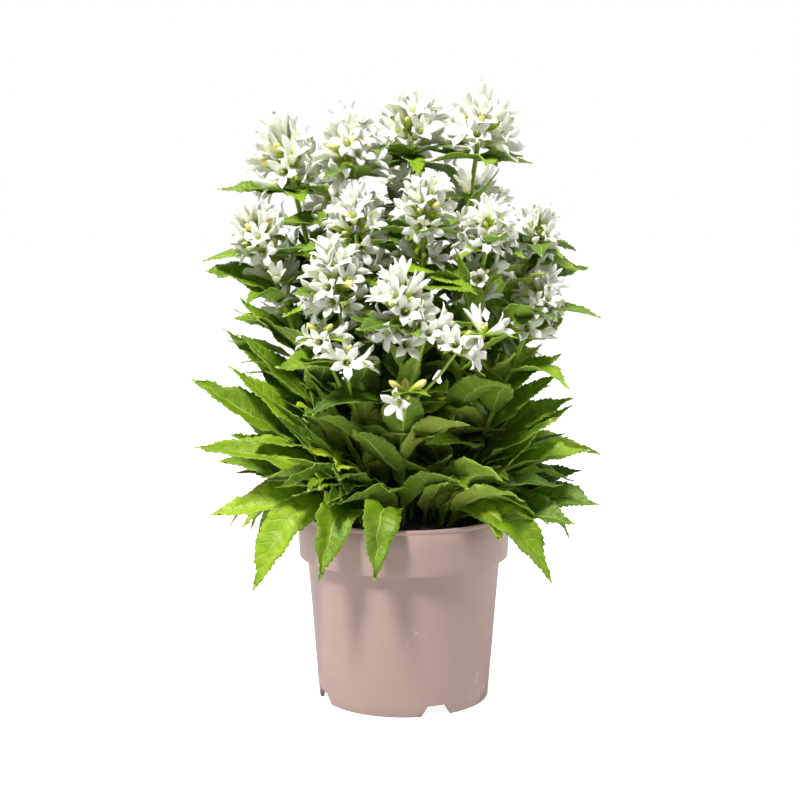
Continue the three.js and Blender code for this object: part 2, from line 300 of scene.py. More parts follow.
deselect_all()
bpy.ops.mesh.primitive_ico_sphere_add(subdivisions=1, radius=1)
crumb_blank = bpy.context.object
bpy.ops.object.mode_set(mode="EDIT")
pick(lambda co: co.z > 0.3)
bpy.ops.transform.translate(value=(0.15, -0.1, -0.2))
pick(lambda co: co.x > 0.4)
bpy.ops.transform.resize(value=(0.8, 1.3, 0.8), center_override=(0.5, 0, 0))
bpy.ops.object.mode_set(mode="OBJECT")
soil_dice = random.Random(4)
crumbs = []
for _ in range(BARK_CRUMBS):
    crumb = crumb_blank.copy()
    crumb.data = crumb_blank.data.copy()
    bpy.context.collection.objects.link(crumb)
    reach = 80 * math.sqrt(soil_dice.random())
    turn = soil_dice.uniform(0, 2 * math.pi)
    place = Vector((reach * math.cos(turn), reach * math.sin(turn), soil_height(reach) + 0.6))
    size = soil_dice.uniform(0.7, 2.0)
    stretch = Matrix.Diagonal((size * soil_dice.uniform(1, 2.4), size, size * 0.7, 1))
    spin = Matrix.Rotation(soil_dice.uniform(0, 6.28), 4, "Z")
    tip = Matrix.Rotation(soil_dice.uniform(-0.5, 0.5), 4, "X")
    crumb.data.transform(Matrix.Scale(0.001, 4) @ Matrix.Translation(place) @ spin @ tip @ stretch)
    crumbs.append(crumb)
bpy.data.objects.remove(crumb_blank, do_unlink=True)


def join_all(parts, name):
    """Joins the parts into one piece of this name."""
    deselect_all()
    for part in parts:
        part.select_set(True)
    bpy.context.view_layer.objects.active = parts[0]
    if len(parts) > 1:
        bpy.ops.object.join()
    whole = bpy.context.view_layer.objects.active
    whole.name = name
    return whole


bark_crumbs = join_all(crumbs, "bark_crumbs")

# Peat and composted bark, kept moist: nearly black, dull, with browner fibres and a few glints.
peat = new_material("moist_peat_mix")
peat_place = node(peat, "TexCoord").outputs["Object"]
peat_clump = node(peat, "TexNoise",
                  {"Vector": peat_place, "Scale": 160.0, "Detail": 6.0, "Roughness": 0.65}).outputs["Fac"]
peat_bits = node(peat, "TexVoronoi", {"Vector": peat_place, "Scale": 420.0}).outputs["Distance"]
peat_shade = node(peat, "MapRange", {"Value": peat_clump, "From Min": 0.35, "From Max": 0.7}).outputs[0]
peat_colour = node(peat, "Mix",
                   {"Factor": peat_shade, 6: linear("#0d0a07"), 7: linear("#3a2c1e")},
                   data_type="RGBA").outputs[2]
peat_relief = node(peat, "Math", {0: peat_clump, 1: peat_bits}, operation="SUBTRACT").outputs[0]
peat_bump = node(peat, "Bump",
                 {"Height": peat_relief, "Strength": 0.9, "Distance": mm(1.5)}).outputs[0]
peat_rough = node(peat, "MapRange", {"Value": peat_clump, "To Min": 0.7, "To Max": 1.0}).outputs[0]
peat_shader = node(peat, "BsdfPrincipled",
                   {"Base Color": peat_colour, "Roughness": peat_rough, "Normal": peat_bump})
node(peat, "OutputMaterial", {"Surface": peat_shader.outputs[0]})
for piece in (soil, bark_crumbs):
    piece.data.materials.clear()
    piece.data.materials.append(peat)
    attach(piece, "root")
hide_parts("potting_soil")

# ---- Flowering stems ----
# Eighteen upright stems grow from one crown, each slightly ridged and thicker at its foot. Their
# yellow-green is painted brighter higher up as painted light, and duller near the soil as painted shade.
# Each follows the middle line of its solid, drawn as a bevelled curve, and ends inside its cluster.
STEM_COUNT = 18
STEM_FOOT_RADIUS = 2.5
STEM_NECK_RADIUS = 1.7
STEM_INTO_CLUSTER = 8


def solid_points(name):
    """The different corner points of a solid, since its mesh is loose triangles."""
    seen = {}
    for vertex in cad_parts[name].data.vertices:
        seen[tuple(round(c, 5) for c in vertex.co)] = vertex.co.copy()
    return list(seen.values())


def middle_of(points):
    return sum(points, Vector()) / len(points)


def stem_middle_line(name):
    """The middle of each ring of corners of a stem, from its foot to its neck."""
    points = sorted(solid_points(name), key=lambda point: point.z)
    rings = [[points[0]]]
    for point in points[1:]:
        if point.z - rings[-1][-1].z > mm(4):
            rings.append([])
        rings[-1].append(point)
    return [middle_of(ring) for ring in rings]


def make_line(points, rolls=None):
    """A smooth curve through the points. rolls turns what follows it about its own length."""
    deselect_all()
    bpy.ops.curve.primitive_bezier_curve_add()
    line = bpy.context.object
    line.data.twist_mode = "Z_UP"
    line.data.resolution_u = 8
    spline = line.data.splines[0]
    spline.bezier_points.add(len(points) - 2)
    for i, (knot, point) in enumerate(zip(spline.bezier_points, points)):
        knot.co = point
        knot.handle_left_type = "AUTO"
        knot.handle_right_type = "AUTO"
        knot.tilt = rolls[i] if rolls else 0.0
        knot.radius = 1.0
    return line


def draw_stalk(points, foot_radius, neck_radius, name, roundness=3):
    """A tapering round stalk through the points, closed at both ends."""
    line = make_line(points)
    last = len(points) - 1
    for i, knot in enumerate(line.data.splines[0].bezier_points):
        knot.radius = foot_radius + (neck_radius - foot_radius) * i / last
    line.data.bevel_depth = mm(1)
    line.data.bevel_resolution = roundness
    line.data.use_fill_caps = True
    line.data.resolution_u = 4
    work_on(line)
    bpy.ops.object.convert(target="MESH")
    stalk = bpy.context.object
    stalk.name = name
    bpy.ops.object.mode_set(mode="EDIT")
    bpy.ops.mesh.select_all(action="SELECT")
    bpy.ops.mesh.remove_doubles(threshold=mm(0.01))
    bpy.ops.mesh.normals_make_consistent(inside=False)
    bpy.ops.object.mode_set(mode="OBJECT")
    bpy.ops.object.shade_smooth_by_angle(angle=math.radians(50))
    return stalk


# Living green stem: smooth and faintly waxy, with fine lengthwise ridges, and a top painted paler and
# yellower as painted light, duller lower down as painted shade.
green_stem = new_material("living_green_stem")
stem_place = node(green_stem, "TexCoord").outputs["Object"]
stem_height = node(green_stem, "SeparateXYZ", {0: stem_place}).outputs["Z"]
# Painted light and shade: the colour goes by height, dull green at 0.15 m up to bright yellow-green at 0.36
# m.
stem_painted_light = node(green_stem, "MapRange",
                  {"Value": stem_height, "From Min": 0.15, "From Max": 0.36}).outputs[0]
stem_flecks = node(green_stem, "TexNoise",
                   {"Vector": stem_place, "Scale": 180.0, "Detail": 4.0}).outputs["Fac"]
stem_ridges = node(green_stem, "TexNoise",
                   {"Vector": node(green_stem, "Mapping",
                                   {"Vector": stem_place, "Scale": (1, 1, 0.05)}).outputs[0],
                    "Scale": 1500.0, "Detail": 1.0}).outputs["Fac"]
stem_base = node(green_stem, "Mix",
                 {"Factor": stem_painted_light, 6: linear("#5d7a1c"), 7: linear("#94b52e")},
                 data_type="RGBA").outputs[2]
stem_colour = node(green_stem, "Mix",
                   {"Factor": stem_flecks, 6: stem_base, 7: linear("#a9c648")},
                   data_type="RGBA").outputs[2]
stem_bump = node(green_stem, "Bump",
                 {"Height": stem_ridges, "Strength": 0.3, "Distance": mm(0.3)}).outputs[0]
stem_shader = node(green_stem, "BsdfPrincipled",
                   {"Base Color": stem_colour, "Roughness": 0.48, "Normal": stem_bump, "IOR": 1.42})
node(green_stem, "OutputMaterial", {"Surface": stem_shader.outputs[0]})

stem_lines = []
stem_pieces = []
for number in range(1, STEM_COUNT + 1):
    line = stem_middle_line(f"stem_{number:02d}")
    stem_lines.append(line)
    inside = line[-1] + (line[-1] - line[-2]).normalized() * mm(STEM_INTO_CLUSTER)
    stem = draw_stalk([line[0], line[3], line[6], line[-1], inside],
                      STEM_FOOT_RADIUS, STEM_NECK_RADIUS, f"flowering_stem_{number:02d}")
    stem.data.materials.append(green_stem)
    stem_pieces.append(stem)


def up_the_stem(number, share):
    """The point this share of the way up a stem, and the stem's direction there."""
    line = stem_lines[number - 1]
    reach = min(share, 0.999) * (len(line) - 1)
    step = int(reach)
    low, high = line[step], line[step + 1]
    return low.lerp(high, reach - step), (high - low).normalized()


# ---- Leaves ----
# Lance-shaped green blades with a finely toothed edge, folded along a pale midrib and pale beneath.
# Four blanks are modelled flat along X: a long crown leaf, one folded deeper, a stem leaf and a small
# bract. Every leaf is a copy of one, laid along its own line.
BLADE_THICKNESS = 0.45


def outline_at(share, stalk, fullest):
    """A leaf's half width at this share of its length, where 1 is its widest.

    It is a narrow stalk, then a blade that is widest at the fullest share and tapers to a fine point.
    """
    if share < stalk:
        return 0.09 + 0.03 * share / stalk
    along = min(1.0, (share - stalk) / (1 - stalk))
    taper = 1.15
    swell = taper * fullest / (1 - fullest)
    full = fullest ** swell * (1 - fullest) ** taper
    return 0.12 * (1 - along) + 0.93 * along ** swell * (1 - along) ** taper / full


def leaf_blank(name, rows, columns, stalk, fullest, fold, wave, tooth):
    """A flat leaf 1 long and 2 wide at its fullest, lying along X from its foot."""
    deselect_all()
    bpy.ops.mesh.primitive_grid_add(x_subdivisions=rows, y_subdivisions=columns, size=1,
                                    location=(0.5, 0, 0))
    leaf = bpy.context.object
    leaf.name = name
    bpy.ops.object.transform_apply(location=True)
    bpy.ops.object.mode_set(mode="EDIT")
    # Both halves are lifted from the midrib into a shallow gutter, and the edge is waved a little.
    for column in range(1, columns // 2 + 1):
        out = column / columns
        pick(lambda co: abs(co.y) > out - 0.25 / columns)
        bpy.ops.transform.translate(value=(0, 0, fold / columns * (1.2 if column == 1 else 0.8)))
    waves = 4
    for hump in range(waves):
        low, high = stalk + (1 - stalk) * hump / waves, stalk + (1 - stalk) * (hump + 0.6) / waves
        for side in (-1, 1):
            pick(lambda co: low < co.x - 0.03 * side < high and co.y * side > 0.5 - 0.5 / columns)
            bpy.ops.transform.translate(value=(0, 0, wave * (1 if (hump + side) % 2 else -1)))
    # Row by row, the gutter is narrowed to the leaf's outline.
    row_length = 1 / rows
    for row in range(rows + 1):
        share = row * row_length
        half = outline_at(share, stalk, fullest) if row < rows else 0.012
        pick(lambda co: abs(co.x - share) < row_length / 3)
        bpy.ops.transform.resize(value=(1, 2 * half, 2 * half), center_override=(share, 0, 0))
    # The edge is cut finer and every new point drawn in and back, which leaves a row of small teeth.
    bpy.ops.mesh.select_all(action="DESELECT")
    shape = bmesh.from_edit_mesh(leaf.data)
    for edge in shape.edges:
        middle = (edge.verts[0].co + edge.verts[1].co) / 2
        edge.select = edge.is_boundary and stalk + 0.03 < middle.x < 0.985
    bmesh.update_edit_mesh(leaf.data)
    before = {tuple(point.co) for point in shape.verts}
    bpy.ops.mesh.subdivide(number_cuts=1, quadcorner="INNERVERT")
    shape = bmesh.from_edit_mesh(leaf.data)
    for side in (-1, 1):
        bpy.ops.mesh.select_all(action="DESELECT")
        for point in shape.verts:
            point.select = tuple(point.co) not in before and point.is_boundary and point.co.y * side > 0
        bmesh.update_edit_mesh(leaf.data)
        bpy.ops.transform.translate(value=(-0.3 * row_length, -tooth * side, 0))
    bpy.ops.object.mode_set(mode="OBJECT")
    work_on(leaf)
    bpy.ops.object.shade_smooth()
    return leaf


# Leaf blade, upper side: matt green with a slightly waxy shine, sunken net of veins, pale midrib
# and edge. Each leaf carries its own tone, from the old dark ones to the young yellow-green.
leaf_top = new_material("leaf_upper_side")
# Underside: the same blade seen from behind, greyer and much paler with its fine hairs.
leaf_under = new_material("leaf_underside")


def leaf_surface(material, dark, mid, bright, vein_colour, vein_share, roughness, relief):
    tone = node(material, "Attribute", attribute_name="tone").outputs["Fac"]
    place = node(material, "TexCoord").outputs["Object"]
    along_across = node(material, "SeparateXYZ",
                        {0: node(material, "UVMap", uv_map="UVMap").outputs[0]})
    along, across = along_across.outputs["X"], along_across.outputs["Y"]
    off_middle = node(material, "Math", {0: across, 1: 0.5}, operation="SUBTRACT").outputs[0]
    off_middle = node(material, "Math", {0: off_middle}, operation="ABSOLUTE").outputs[0]
    # Side veins leave the midrib every 7 mm or so of a 90 mm leaf and sweep unevenly towards its tip.
    stray = node(material, "TexNoise", {"Vector": place, "Scale": 60.0, "Detail": 2.0}).outputs["Fac"]
    sweep = node(material, "Math", {0: off_middle, 1: -4.4, 2: stray}, operation="MULTIPLY_ADD").outputs[0]
    runs = node(material, "Math", {0: along, 1: 26.0, 2: sweep}, operation="MULTIPLY_ADD").outputs[0]
    ripple = node(material, "Math", {0: runs, 1: 1.0}, operation="PINGPONG").outputs[0]
    side_vein = node(material, "MapRange",
                     {"Value": ripple, "From Min": 0.16, "From Max": 0.0}).outputs[0]
    midrib = node(material, "MapRange",
                  {"Value": off_middle, "From Min": 0.026, "From Max": 0.006}).outputs[0]
    edge = node(material, "MapRange",
                {"Value": off_middle, "From Min": 0.48, "From Max": 0.5}).outputs[0]
    faint_veins = node(material, "Math", {0: side_vein, 1: vein_share}, operation="MULTIPLY").outputs[0]
    faint_edge = node(material, "Math", {0: edge, 1: 0.55}, operation="MULTIPLY").outputs[0]
    veins = node(material, "Math", {0: midrib, 1: faint_veins}, operation="MAXIMUM").outputs[0]
    veins = node(material, "Math", {0: veins, 1: faint_edge}, operation="MAXIMUM").outputs[0]
    mottle = node(material, "TexNoise",
                  {"Vector": place, "Scale": 90.0, "Detail": 5.0, "Roughness": 0.6}).outputs["Fac"]
    mottled = node(material, "Math", {0: mottle, 1: 0.5, 2: tone}, operation="MULTIPLY_ADD").outputs[0]
    mottled = node(material, "Math", {0: mottled, 1: 0.25}, operation="SUBTRACT").outputs[0]
    blade = node(material, "ValToRGB", {"Fac": mottled})
    ramp = blade.color_ramp
    ramp.elements[0].color = linear(dark)
    ramp.elements[0].position = 0.05
    ramp.elements[1].color = linear(bright)
    ramp.elements[1].position = 0.95
    ramp.elements.new(0.5).color = linear(mid)
    colour = node(material, "Mix",
                  {"Factor": veins, 6: blade.outputs[0], 7: linear(vein_colour)},
                  data_type="RGBA").outputs[2]
    # The blade puckers up between its veins, in cells about 3 mm across.
    pucker = node(material, "TexVoronoi",
                  {"Vector": place, "Scale": 330.0, "Randomness": 0.9}).outputs["Distance"]
    swell = node(material, "Math", {0: ripple, 1: pucker}, operation="SUBTRACT").outputs[0]
    dips = node(material, "Math", {0: side_vein, 1: midrib}, operation="MAXIMUM").outputs[0]
    height = node(material, "Math", {0: dips, 1: relief, 2: swell}, operation="MULTIPLY_ADD").outputs[0]
    bump = node(material, "Bump", {"Height": height, "Strength": 0.5, "Distance": mm(0.5)}).outputs[0]
    rough = node(material, "MapRange",
                 {"Value": mottle, "To Min": roughness - 0.08, "To Max": roughness + 0.1}).outputs[0]
    shader = node(material, "BsdfPrincipled",
                  {"Base Color": colour, "Roughness": rough, "Normal": bump, "IOR": 1.4,
                   "Specular IOR Level": 0.42, "Subsurface Weight": 0.12,
                   "Subsurface Radius": (0.4, 1.0, 0.1), "Subsurface Scale": mm(2)})
    node(material, "OutputMaterial", {"Surface": shader.outputs[0]})


leaf_surface(leaf_top, "#365207", "#799712", "#b6c62c", "#98ad42", 0.15, 0.48, -1.2)
leaf_surface(leaf_under, "#64801f", "#87a335", "#aabd4e", "#bccb78", 0.35, 0.58, 1.5)


def give_thickness(leaf):
    """Makes the flat blade a thin closed one, with the pale underside as its second material."""
    leaf.data.materials.append(leaf_top)
    leaf.data.materials.append(leaf_under)
    apply_modifier(leaf, "thickness", "SOLIDIFY", thickness=BLADE_THICKNESS, offset=-1,
                   material_offset=1, material_offset_rim=0, use_even_offset=False)


def sized_blank(blank, length, width):
    """A copy of a blank at this length and full width in millimetres, before it is bent."""
    leaf = blank.copy()
    leaf.data = blank.data.copy()
    bpy.context.collection.objects.link(leaf)
    leaf.data.transform(Matrix.Diagonal((length, width / 2, width / 2, 1)))
    return leaf


def with_tone(piece, tone):
    """Writes the piece's own tone on all its points, for its material to read."""
    attribute = piece.data.attributes.new("tone", "FLOAT", "POINT")
    attribute.data.foreach_set("value", [tone] * len(piece.data.vertices))
    return piece


def path_length(points):
    return sum((b - a).length for a, b in zip(points, points[1:]))


def lay_leaf(blank, points, width, tone, rolls=(0.0, 0.0)):
    """A copy of the blank bent along the points, turning from the first roll to the last."""
    length = path_length(points)
    leaf = sized_blank(blank, length * 1000, width)
    give_thickness(leaf)
    leaf.data.transform(Matrix.Scale(0.001, 4))
    last = len(points) - 1
    line = make_line(points, [rolls[0] + (rolls[1] - rolls[0]) * i / last for i in range(last + 1)])
    line.data.use_stretch = True
    line.data.use_deform_bounds = True
    apply_modifier(leaf, "bend", "CURVE", object=line, deform_axis="POS_X")
    bpy.data.objects.remove(line, do_unlink=True)
    return with_tone(leaf, tone)


UNEVENNESS_SIZE = 15
CROWN_PUCKER = 7
STEM_LEAF_PUCKER = 5
unevenness = bpy.data.textures.new("leaf_unevenness", "CLOUDS")
unevenness.cloud_type = "COLOR"
unevenness.noise_scale = mm(UNEVENNESS_SIZE)
unevenness.noise_depth = 2


def pucker_leaves(leaves, depth):
    """Pushes the finished leaves about by up to half this depth, a different way every 15 mm or so."""
    apply_modifier(leaves, "pucker", "DISPLACE", texture=unevenness, strength=mm(depth), mid_level=0.5,
                   texture_coords="GLOBAL", direction="RGB_TO_XYZ")


long_leaf = leaf_blank("long_leaf_blank", 26, 6, 0.16, 0.40, 0.3, 0.04, 0.055)
folded_leaf = leaf_blank("folded_leaf_blank", 26, 6, 0.10, 0.44, 0.55, 0.05, 0.055)
stem_leaf = leaf_blank("stem_leaf_blank", 18, 4, 0.06, 0.36, 0.28, 0.045, 0.065)
bract = leaf_blank("bract_blank", 10, 4, 0.02, 0.32, 0.25, 0.03, 0.07)


def leaf_midrib(name):
    """The middle of each station of a leaf's solid, from its foot to its tip.

    A station's top and bottom corners are the only ones that lie 1.4 mm apart.
    """
    points = solid_points(name)
    stations = []
    for i, a in enumerate(points):
        for b in points[i + 1:]:
            if mm(1.36) < (a - b).length < mm(1.44):
                stations.append((a + b) / 2)
    chain = [min(stations, key=lambda place: math.hypot(place.x, place.y))]
    left = [place for place in stations if place is not chain[0]]
    while left:
        nearest = min(left, key=lambda place: (place - chain[-1]).length)
        left.remove(nearest)
        if (nearest - chain[-1]).length > mm(2):
            chain.append(nearest)
    return chain


# The twelve crown leaves that hang over the rim and the ten large leaves on the stems: tone, full
# width in mm, and roll in degrees at the foot and at the tip.
LARGE_LEAVES = (
    (0.30, 29, -14, -34), (0.34, 30, -16, -40), (0.56, 32, -20, -50), (0.40, 30, 20, 48),
    (0.30, 23, 10, 18), (0.45, 24, 6, 12), (0.5, 32, 6, 12), (0.35, 32, 0, 12),
    (0.55, 32, 8, -8), (0.35, 32, -6, -12), (0.4, 25, -6, -12), (0.3, 24, -10, -20),
    (0.3, 34, -24, -56), (0.45, 31, -22, -48), (0.3, 30, -26, -44), (0.3, 26, -20, -36),
    (0.7, 31, 18, 38), (0.5, 32, 14, 34), (0.3, 30, 24, 44), (0.3, 27, 18, 38),
    (0.4, 32, 6, 12), (0.5, 32, -6, -12),
)
for number, (tone, width, foot_roll, tip_roll) in enumerate(LARGE_LEAVES, 1):
    rib = leaf_midrib(f"leaf_{number:02d}")
    knots = [rib[0], rib[len(rib) // 4], rib[len(rib) // 2], rib[3 * len(rib) // 4], rib[-1]]
    blank = folded_leaf if number % 3 else long_leaf
    leaf = lay_leaf(blank, knots, width, tone, (math.radians(foot_roll), math.radians(tip_roll)))
    leaf.name = f"large_leaf_{number:02d}"
    pucker_leaves(leaf, CROWN_PUCKER)
    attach(leaf, "root")
    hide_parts(f"leaf_{number:02d}")


def arching(start, turn, length, rise, droop, sway=0.0):
    """Five points of a leaf's line. It leaves at the rise above level, and bends down by the droop."""
    points = [Vector(start)]
    for step in range(4):
        climb = math.radians(rise - droop * (step + 0.5) / 4)
        heading = math.radians(turn + sway * (step + 0.5) / 4)
        reach = mm(length / 4)
        points.append(points[-1] + Vector((
            reach * math.cos(climb) * math.cos(heading),
            reach * math.cos(climb) * math.sin(heading),
            reach * math.sin(climb),
        )))
    return points


# ---- Crown leaves ----
# The shorter leaves that crowd round the crown inside the rim, in eight tufts. They stand at every
# angle from nearly upright to lying over the rim. Where a large leaf already hangs over the rim, they
# stand up behind it. A gap at the front shows the soil, and those on both sides of it arch well over.
HANGING_TURNS = (-103, -128, -152, -50, -22, 8, 38, 68, 98, 130, 160, 186)
CLOSE_TO_HANGING = 10
FRONT_GAP = (256, 296)
FRONT_ARCH = (205, 335)
TUFTS = 8
BLADES_IN_TUFT = 14
crown_dice = random.Random(21)
for tuft in range(TUFTS):
    blades = []
    for _ in range(BLADES_IN_TUFT):
        turn = 360 / TUFTS * (tuft + crown_dice.uniform(0, 1))
        sideways = abs(math.cos(math.radians(turn)))
        foot = crown_dice.uniform(22, 54)
        rise = crown_dice.uniform(26, 78)
        droop = crown_dice.uniform(5, 95)
        if min(abs((turn - other + 180) % 360 - 180) for other in HANGING_TURNS) < CLOSE_TO_HANGING:
            rise, droop = crown_dice.uniform(56, 80), crown_dice.uniform(10, 60)
        if FRONT_ARCH[0] < turn % 360 < FRONT_ARCH[1]:
            rise, droop = max(rise, 50), 45 + 0.75 * droop
        start = (mm(foot * math.cos(math.radians(turn))), mm(foot * math.sin(math.radians(turn))),
                 mm(soil_height(foot) - 2))
        length = crown_dice.uniform(88, 118) * (0.72 + 0.32 * sideways)
        sway = crown_dice.uniform(-55, 55)
        roll = math.radians(crown_dice.uniform(-50, 50))
        width = crown_dice.uniform(24, 33)
        tone = 0.78 * crown_dice.random() ** 1.5
        blank = crown_dice.choice((long_leaf, folded_leaf))
        if not FRONT_GAP[0] < turn < FRONT_GAP[1]:
            blades.append(lay_leaf(blank, arching(start, turn, length, rise, droop, sway), width, tone,
                                   (roll * 0.4, roll)))
    crown_tuft = join_all(blades, f"crown_leaves_{tuft + 1}")
    pucker_leaves(crown_tuft, CROWN_PUCKER)
    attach(crown_tuft, "root")

# Longer ones fan out to both sides, from nearly level to half upright.
FAN_LEAVES = 9
LOWEST_FAN_RISE = 28
FAN_STEP = 5.4
for side_turn, lean_in, name in ((180, -1, "left_fan_leaves"), (0, 1, "right_fan_leaves")):
    blades = []
    for i in range(FAN_LEAVES):
        turn = math.radians(side_turn + crown_dice.uniform(-34, 34))
        foot = crown_dice.uniform(34, 56)
        start = (mm(foot * math.cos(turn)), mm(foot * math.sin(turn)), mm(soil_height(foot) - 2))
        points = arching(start, math.degrees(turn), crown_dice.uniform(94, 124),
                         LOWEST_FAN_RISE + FAN_STEP * i,
                         crown_dice.uniform(15, 55), crown_dice.uniform(-28, 28))
        roll = math.radians(lean_in * crown_dice.uniform(10, 62))
        blades.append(lay_leaf(crown_dice.choice((long_leaf, folded_leaf)), points,
                               crown_dice.uniform(26, 34), 0.64 * crown_dice.random() ** 1.2,
                               (roll * 0.4, roll)))
    fan = join_all(blades, name)
    pucker_leaves(fan, CROWN_PUCKER)
    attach(fan, "root")

# ---- Leaves up the stems ----
# Narrow toothed leaves set spirally on each stem, longest at the bottom, with a collar of leafy
# bracts just under the flower cluster. All the leaves of one stem are joined into one piece.
GOLDEN = 137.5
LONG_STEM = 0.24
BRACTS = 6
# A few broad ones stand clear of the rest: stem, share of the way up, turn, rise, droop, length,
# width, tone, roll.
CLEAR_LEAVES = (
    (1, 0.98, 180, 10, 12, 62, 22, 0.3, -30), (2, 0.86, 182, 4, 8, 70, 24, 0.25, -35),
    (3, 0.94, 8, 20, 70, 52, 24, 0.35, 30), (3, 0.95, 176, 30, 60, 40, 24, 0.3, -30),
    (4, 0.98, 5, 6, 14, 46, 20, 0.45, 20), (4, 0.84, 205, -14, 14, 66, 24, 0.35, -45),
    (6, 0.9, -35, -8, 30, 56, 28, 0.3, 40), (11, 0.9, -60, 62, 30, 46, 34, 0.6, 10),
    (9, 0.86, 200, 22, 20, 42, 30, 0.55, -40), (10, 0.92, 0, 22, 50, 44, 24, 0.4, 30),
    (12, 0.86, 40, 24, 10, 50, 26, 0.3, 40), (5, 0.8, 150, 40, 30, 60, 26, 0.4, -30),
    (16, 0.75, 176, 34, 40, 60, 28, 0.4, -35), (5, 0.6, 188, 48, 6, 72, 25, 0.3, -35),
    (5, 0.42, 184, 46, 4, 90, 28, 0.25, -40), (5, 0.24, 186, 46, 8, 114, 31, 0.4, -44),
    (12, 0.44, -6, 44, 8, 74, 28, 0.3, 40), (12, 0.26, -4, 36, 6, 96, 30, 0.6, 36),
    (12, 0.6, -10, 46, 20, 62, 28, 0.5, 40), (8, 0.72, 215, 18, 30, 70, 30, 0.35, -30),
    (7, 0.8, -40, 20, 40, 56, 28, 0.4, 30), (18, 0.7, 8, 46, 20, 58, 26, 0.35, 40),
)
for number in range(1, STEM_COUNT + 1):
    dice = random.Random(100 + number)
    leaves = []
    spiral = dice.uniform(0, 360)
    stem_length = path_length(stem_lines[number - 1])
    count = 15 if stem_length > LONG_STEM else 12
    for i in range(count):
        share = 0.12 + 0.72 * (i + dice.uniform(-0.3, 0.3)) / (count - 1)
        place = up_the_stem(number, max(0.06, share))[0]
        turn = spiral + GOLDEN * i + dice.uniform(-15, 15)
        length = (102 - 52 * share) * dice.uniform(0.85, 1.15)
        points = arching(place, turn, length, dice.uniform(30, 68), dice.uniform(0, 75),
                         dice.uniform(-35, 35))
        roll = math.radians(dice.uniform(-45, 45))
        leaves.append(lay_leaf(stem_leaf, points, (36 - 13 * share) * dice.uniform(0.85, 1.1),
                               0.8 * dice.random() ** 1.6, (0.0, roll)))
    for grown_on, share, turn, rise, droop, length, width, tone, roll in CLEAR_LEAVES:
        if grown_on == number:
            place = up_the_stem(number, share)[0]
            leaves.append(lay_leaf(stem_leaf, arching(place, turn, length, rise, droop), width, tone,
                                   (math.radians(roll) / 2, math.radians(roll))))
    place = up_the_stem(number, 0.985)[0]
    for i in range(BRACTS):
        turn = spiral + 60 * i + dice.uniform(-14, 14)
        length = dice.uniform(34, 56)
        points = arching(place, turn, length, dice.uniform(-2, 30), dice.uniform(5, 45),
                         dice.uniform(-30, 30))
        leaves.append(lay_leaf(bract, points, length * 0.48, dice.uniform(0.1, 0.5),
                               (0.0, math.radians(dice.uniform(-30, 30)))))
    foliage = join_all(leaves, f"stem_leaves_{number:02d}")
    pucker_leaves(foliage, STEM_LEAF_PUCKER)
    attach(foliage, "root")

for number, stem in enumerate(stem_pieces, 1):
    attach(stem, "root")
    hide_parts(f"stem_{number:02d}")

# ---- Bells ----
# Each flower is one white corolla: a narrow tube that opens into five pointed lobes curling back,
# held in a small green calyx with five narrow sepals. Five ages are modelled, from small bud to full
# bloom. One fifth of a corolla is drawn up from the tube's foot, then spun round to make the others.
PETAL_THICKNESS = 0.35
LOBE_WIDTHS = (1.2, 1.12, 0.55)


